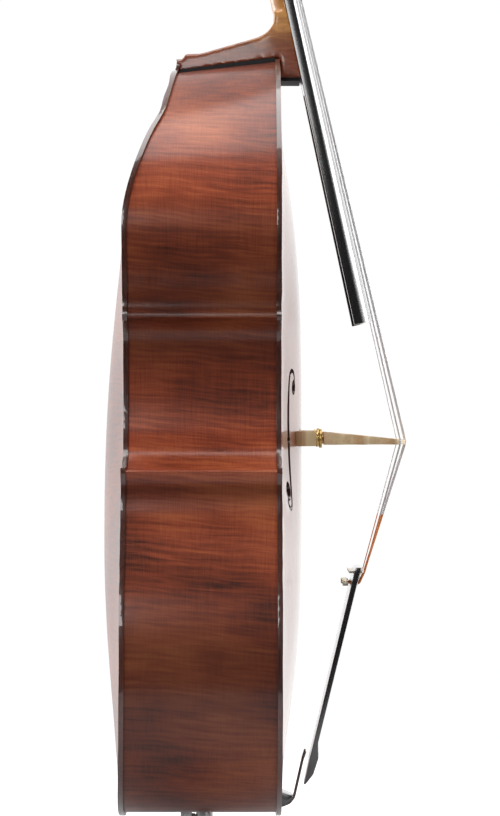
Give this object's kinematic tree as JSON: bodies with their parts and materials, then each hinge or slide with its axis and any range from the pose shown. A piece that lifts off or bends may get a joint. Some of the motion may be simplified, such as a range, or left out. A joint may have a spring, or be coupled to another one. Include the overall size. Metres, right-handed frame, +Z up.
{
  "type": "double bass",
  "caption": "Upright double bass with carved plates, violin corners, adjustable bridge, worm-geared tuning machines and a sliding endpin.",
  "frame": {"origin": "bottom centre of the endpin's rubber foot, with the endpin pushed in", "axes": "+Z up along the body, +X out of the belly towards the strings, +Y towards the treble side"},
  "size_m": [0.4499, 0.6828, 1.9085],
  "materials": {
    "spruce_varnished": "red-brown oil varnish over straight-grained spruce, glossy",
    "maple_varnished": "dark red-brown varnish over flamed maple, glossy",
    "maple_neck": "amber oiled flamed maple, varnished red-brown at heel and scroll",
    "inner_wood": "bare spruce",
    "ebony": "oiled black ebony",
    "bridge_maple": "bare pale maple",
    "tail_fret": "polished ebony",
    "brass": "lacquered brass",
    "string_steel": "flat-wound steel with silk at the ends",
    "steel": "plated steel",
    "tail_rope": "twisted wire rope",
    "rubber": "matt black rubber"
  },
  "bodies": {
    "bass": {"belly": "spruce_varnished", "back_plate": "maple_varnished", "rib_upper_bass": "maple_varnished", "rib_center_bass": "maple_varnished", "rib_lower_bass": "maple_varnished", "rib_upper_treble": "maple_varnished", "rib_center_treble": "maple_varnished", "rib_lower_treble": "maple_varnished", "neck_block": "inner_wood", "end_block": "inner_wood", "upper_corner_blocks": "inner_wood", "lower_corner_blocks": "inner_wood", "front_linings": "inner_wood", "back_linings": "inner_wood", "bass_bar": "inner_wood", "sound_post": "inner_wood", "saddle": "ebony", "endpin_plug": "ebony", "endpin_collar": "steel", "heel_shims": "ebony", "neck": "maple_neck", "fingerboard": "ebony", "nut": "ebony", "bridge_top": "bridge_maple", "bridge_foot_bass": "bridge_maple", "bridge_foot_treble": "bridge_maple", "tailpiece": "ebony", "tailpiece_fret": "tail_fret", "tail_wire": "tail_rope", "string_ball_ends": "brass", "string_e": "string_steel", "string_a": "string_steel", "string_d": "string_steel", "string_g": "string_steel", "machine_plate_bass": "brass", "machine_plate_treble": "brass", "machine_screws": "brass"},
    "endpin": {"endpin_rod": "steel", "endpin_foot": "rubber"},
    "clamp_screw": {"endpin_thumbscrew": "steel"},
    "adjuster_bass": {"bridge_adjuster_bass": "brass"},
    "adjuster_treble": {"bridge_adjuster_treble": "brass"},
    "post_e": {"tuner_post_e": "brass", "tuner_gear_e": "brass", "string_winding_e": "string_steel"},
    "key_e": {"tuner_key_e": "brass"},
    "post_a": {"tuner_post_a": "brass", "tuner_gear_a": "brass", "string_winding_a": "string_steel"},
    "key_a": {"tuner_key_a": "brass"},
    "post_d": {"tuner_post_d": "brass", "tuner_gear_d": "brass", "string_winding_d": "string_steel"},
    "key_d": {"tuner_key_d": "brass"},
    "post_g": {"tuner_post_g": "brass", "tuner_gear_g": "brass", "string_winding_g": "string_steel"},
    "key_g": {"tuner_key_g": "brass"}
  },
  "joints": [
    {"name": "endpin_slide", "type": "slide", "parent": "bass", "child": "endpin", "axis": [0, 0, -1], "range_m": [0, 0.22]},
    {"name": "clamp_screw_turn", "type": "hinge", "parent": "bass", "child": "clamp_screw", "pos_m": [-0.017, 0, 0.0615], "axis": [1, 0, 0], "range_deg": [-360, 0]},
    {"name": "adjuster_bass_turn", "type": "hinge", "parent": "bass", "child": "adjuster_bass", "pos_m": [0.1718, -0.057, 0.62725], "axis": [1, 0, 0], "range_deg": [-360, 360]},
    {"name": "adjuster_treble_turn", "type": "hinge", "parent": "bass", "child": "adjuster_treble", "pos_m": [0.1718, 0.057, 0.62725], "axis": [1, 0, 0], "range_deg": [-360, 360]},
    {"name": "post_e_turn", "type": "hinge", "parent": "bass", "child": "post_e", "pos_m": [0.00531, 0, 1.67883], "axis": [0, -1, 0], "continuous": true},
    {"name": "key_e_turn", "type": "hinge", "parent": "bass", "child": "key_e", "pos_m": [-0.00377, -0.0353, 1.69665], "axis": [0.891, 0, 0.454], "continuous": true},
    {"name": "post_a_turn", "type": "hinge", "parent": "bass", "child": "post_a", "pos_m": [-0.02874, 0, 1.74566], "axis": [0, -1, 0], "continuous": true},
    {"name": "key_a_turn", "type": "hinge", "parent": "bass", "child": "key_a", "pos_m": [-0.03782, -0.0353, 1.76348], "axis": [0.891, 0, 0.454], "continuous": true},
    {"name": "post_d_turn", "type": "hinge", "parent": "bass", "child": "post_d", "pos_m": [-0.04554, 0, 1.77862], "axis": [0, -1, 0], "continuous": true},
    {"name": "key_d_turn", "type": "hinge", "parent": "bass", "child": "key_d", "pos_m": [-0.05462, 0.0353, 1.79644], "axis": [0.891, 0, 0.454], "continuous": true},
    {"name": "post_g_turn", "type": "hinge", "parent": "bass", "child": "post_g", "pos_m": [-0.01149, 0, 1.7118], "axis": [0, -1, 0], "continuous": true},
    {"name": "key_g_turn", "type": "hinge", "parent": "bass", "child": "key_g", "pos_m": [-0.02057, 0.0353, 1.72962], "axis": [0.891, 0, 0.454], "continuous": true}
  ],
  "couplings": [
    {"joint": "key_e_turn", "follows": "post_e_turn", "ratio": 18},
    {"joint": "key_a_turn", "follows": "post_a_turn", "ratio": 18},
    {"joint": "key_d_turn", "follows": "post_d_turn", "ratio": -18},
    {"joint": "key_g_turn", "follows": "post_g_turn", "ratio": -18}
  ]
}
